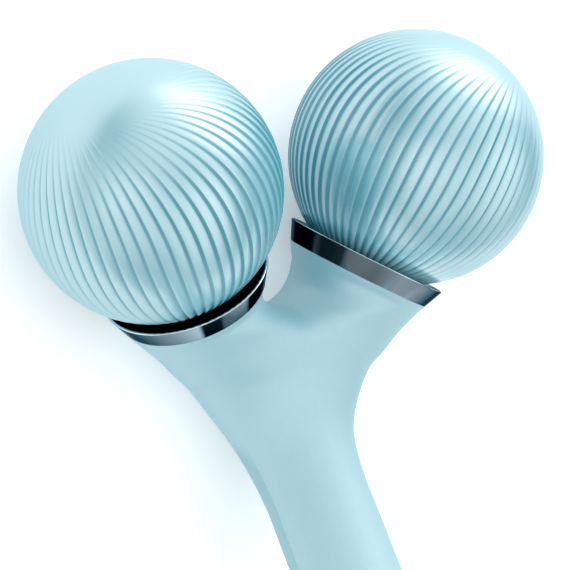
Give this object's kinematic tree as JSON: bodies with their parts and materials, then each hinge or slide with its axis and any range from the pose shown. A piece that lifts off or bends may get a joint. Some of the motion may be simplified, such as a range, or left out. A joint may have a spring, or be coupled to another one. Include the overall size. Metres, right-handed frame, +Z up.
{
  "type": "facial roller",
  "caption": "Y-shaped hand-held facial roller: fluted balls spin freely on splayed arms over dark collars, on a slender bent handle of pearly aqua plastic.",
  "frame": {"origin": "on the floor, in the middle of the three places where the lying roller touches it: under both balls and under the back of its bend", "axes": "+X level from the grip towards the balls, +Y to the ball on the left as seen from the grip's end with the concave side up, +Z up"},
  "size_m": [0.1559, 0.0896, 0.0543],
  "materials": {
    "pearl_plastic": "satin pearl lacquer, pale aqua",
    "pearl_ball": "satin pearl plating, pale aqua",
    "dark_chrome": "polished dark chrome",
    "steel": "turned stainless steel",
    "frame_aluminium": "as die-cast",
    "white_plastic": "moulded, self-lubricating",
    "seal_rubber": "matt"
  },
  "bodies": {
    "handle": {"handle_front_shell": "pearl_plastic", "handle_rear_shell": "pearl_plastic", "core_frame": "frame_aluminium", "frame_screws": "steel", "left_axle": "steel", "left_retaining_clip": "steel", "left_thrust_washer": "steel", "left_collar": "dark_chrome", "left_seal_ring": "seal_rubber", "left_axle_nut": "steel", "right_axle": "steel", "right_retaining_clip": "steel", "right_thrust_washer": "steel", "right_collar": "dark_chrome", "right_seal_ring": "seal_rubber", "right_axle_nut": "steel"},
    "left_ball": {"left_ball_shell": "pearl_ball", "left_ball_core": "white_plastic", "left_lower_bush": "white_plastic", "left_upper_bush": "white_plastic"},
    "right_ball": {"right_ball_shell": "pearl_ball", "right_ball_core": "white_plastic", "right_lower_bush": "white_plastic", "right_upper_bush": "white_plastic"}
  },
  "joints": [
    {"name": "left_ball_spin", "type": "hinge", "parent": "handle", "child": "left_ball", "pos_m": [0.0084, 0.02476, 0.02], "axis": [0.8162, 0.4493, 0.3631], "continuous": true},
    {"name": "right_ball_spin", "type": "hinge", "parent": "handle", "child": "right_ball", "pos_m": [0.0084, -0.02476, 0.02], "axis": [0.8162, -0.4493, 0.3631], "continuous": true}
  ]
}
